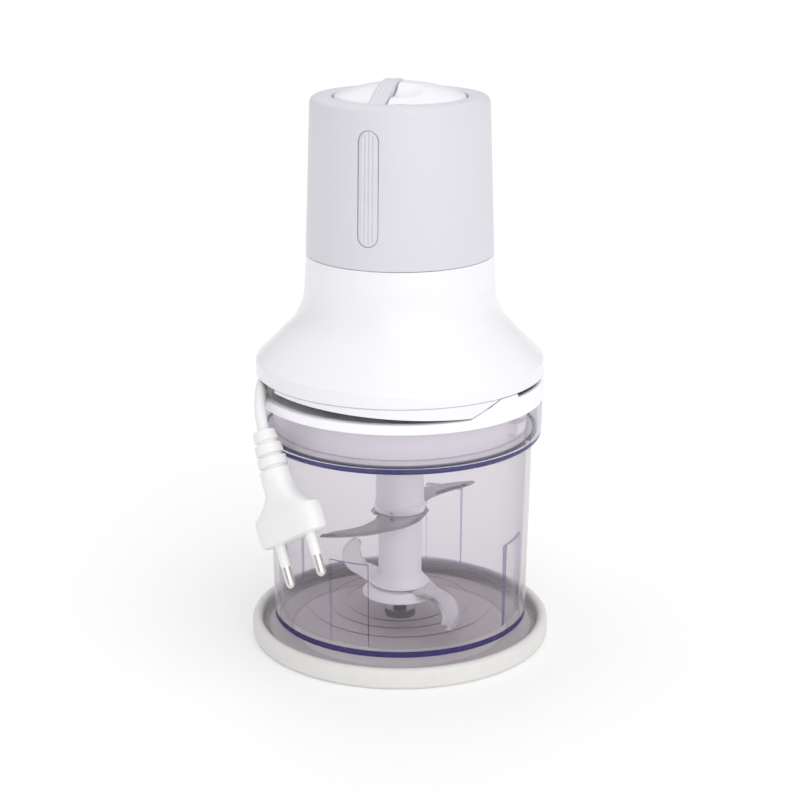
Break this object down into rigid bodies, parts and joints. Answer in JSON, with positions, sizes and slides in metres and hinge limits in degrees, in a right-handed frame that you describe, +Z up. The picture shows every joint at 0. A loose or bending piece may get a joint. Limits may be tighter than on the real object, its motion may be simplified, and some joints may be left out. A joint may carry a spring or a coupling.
{
  "type": "food processor",
  "caption": "Mini food processor: clear bowl with a two-level blade, lid, and press-top motor unit with its mains lead wound under a flared skirt.",
  "frame": {"origin": "centre of the underside of the non-slip ring", "axes": "+Z up along the drive axis; +X to the user's right; the grip strip and plug face the front, -Y"},
  "size_m": [0.1358, 0.1417, 0.2529],
  "materials": {
    "white_plastic": "semi-gloss",
    "grey_plastic": "satin",
    "inlay_grey": "satin",
    "soft_grey_plastic": "soft matt",
    "clear_plastic": "clear",
    "blade_steel": "brushed",
    "polished_steel": "ground",
    "spring_steel": "drawn",
    "zinc_steel": "zinc plated",
    "lamination": "stacked sheet",
    "pin_metal": "nickel plated",
    "cord_white": "satin",
    "seal_rubber": "soft",
    "dark_nylon": "satin",
    "dark_plastic": "satin",
    "black_plastic": "satin",
    "ivory_nylon": "satin",
    "sintered_bronze": "matt",
    "brass": "plain",
    "copper_wire": "enamelled",
    "copper_bar": "turned",
    "carbon": "matt",
    "board_green": "satin",
    "capacitor_yellow": "gloss",
    "wire_blue": "satin"
  },
  "bodies": {
    "ring": {"non_slip_ring": "soft_grey_plastic"},
    "bowl": {"bowl": "clear_plastic", "bowl_spindle": "polished_steel"},
    "blade": {"blade_foot": "white_plastic", "lower_blade": "blade_steel", "blade_hub": "white_plastic", "upper_blade": "blade_steel", "blade_sleeve": "white_plastic", "hub_bush": "dark_nylon", "drive_socket": "sintered_bronze"},
    "lid": {"bowl_lid": "white_plastic", "lid_seal": "seal_rubber"},
    "motor_unit": {"flared_housing": "white_plastic", "skirt_band": "white_plastic", "cord_spool": "white_plastic", "upper_cap": "grey_plastic", "grip_inlay": "inlay_grey", "button_frame": "dark_plastic", "button_spring_1": "spring_steel", "button_spring_2": "spring_steel", "cord_gland": "cord_white", "cord_coil": "cord_white", "cord_tail": "cord_white", "strain_relief": "cord_white", "plug_body": "cord_white", "plug_pins": "pin_metal", "gearbox_case": "dark_plastic", "ring_gear": "ivory_nylon", "gearbox_bush": "sintered_bronze", "motor_plate": "zinc_steel", "motor_pillars": "zinc_steel", "stator_stack": "lamination", "field_coils": "copper_wire", "brush_plate": "ivory_nylon", "brush_holders": "brass", "carbon_brushes": "carbon", "shaft_bushes": "sintered_bronze", "switch_shelf": "dark_plastic", "circuit_board": "board_green", "micro_switches": "black_plastic", "suppressor": "capacitor_yellow", "lead_wires": "wire_blue", "housing_screws": "zinc_steel", "gearbox_screws": "zinc_steel", "shelf_screws": "zinc_steel"},
    "carrier": {"planet_carrier": "zinc_steel", "output_shaft": "polished_steel"},
    "planet_1": {"planet_gear_1": "ivory_nylon"},
    "planet_2": {"planet_gear_2": "ivory_nylon"},
    "planet_3": {"planet_gear_3": "ivory_nylon"},
    "rotor": {"motor_shaft": "polished_steel", "sun_pinion": "zinc_steel", "rotor_stack": "lamination", "rotor_windings": "copper_wire", "commutator": "copper_bar", "cooling_fan": "black_plastic"},
    "button_1": {"press_button_1": "white_plastic"},
    "button_2": {"press_button_2": "white_plastic"}
  },
  "joints": [
    {"name": "bowl_lift", "type": "slide", "parent": "ring", "child": "bowl", "axis": [0, 0, 1], "range_m": [0, 0.06]},
    {"name": "lid_lift", "type": "slide", "parent": "bowl", "child": "lid", "axis": [0, 0, 1], "range_m": [0, 0.09]},
    {"name": "motor_lift", "type": "slide", "parent": "lid", "child": "motor_unit", "axis": [0, 0, 1], "range_m": [0, 0.06]},
    {"name": "blade_spin", "type": "hinge", "parent": "bowl", "child": "blade", "pos_m": [0, 0, 0.06], "axis": [0, 0, 1], "continuous": true},
    {"name": "rotor_spin", "type": "hinge", "parent": "motor_unit", "child": "rotor", "pos_m": [0, 0, 0.16], "axis": [0, 0, 1], "continuous": true},
    {"name": "carrier_spin", "type": "hinge", "parent": "motor_unit", "child": "carrier", "pos_m": [0, 0, 0.11], "axis": [0, 0, 1], "continuous": true},
    {"name": "planet_1_spin", "type": "hinge", "parent": "carrier", "child": "planet_1", "pos_m": [0.0135, 0, 0.119], "axis": [0, 0, 1], "continuous": true},
    {"name": "planet_2_spin", "type": "hinge", "parent": "carrier", "child": "planet_2", "pos_m": [-0.00675, 0.01169, 0.119], "axis": [0, 0, 1], "continuous": true},
    {"name": "planet_3_spin", "type": "hinge", "parent": "carrier", "child": "planet_3", "pos_m": [-0.00675, -0.01169, 0.119], "axis": [0, 0, 1], "continuous": true},
    {"name": "button_1_press", "type": "slide", "parent": "motor_unit", "child": "button_1", "axis": [0, 0, -1], "range_m": [0, 0.0025], "stiffness_N_per_m": 400, "deforming": ["button_spring_1"]},
    {"name": "button_2_press", "type": "slide", "parent": "motor_unit", "child": "button_2", "axis": [0, 0, -1], "range_m": [0, 0.0025], "stiffness_N_per_m": 400, "deforming": ["button_spring_2"]}
  ],
  "couplings": [
    {"joint": "carrier_spin", "follows": "rotor_spin", "ratio": 0.2},
    {"joint": "blade_spin", "follows": "rotor_spin", "ratio": 0.2},
    {"joint": "planet_1_spin", "follows": "rotor_spin", "ratio": -0.53333},
    {"joint": "planet_2_spin", "follows": "rotor_spin", "ratio": -0.53333},
    {"joint": "planet_3_spin", "follows": "rotor_spin", "ratio": -0.53333}
  ]
}
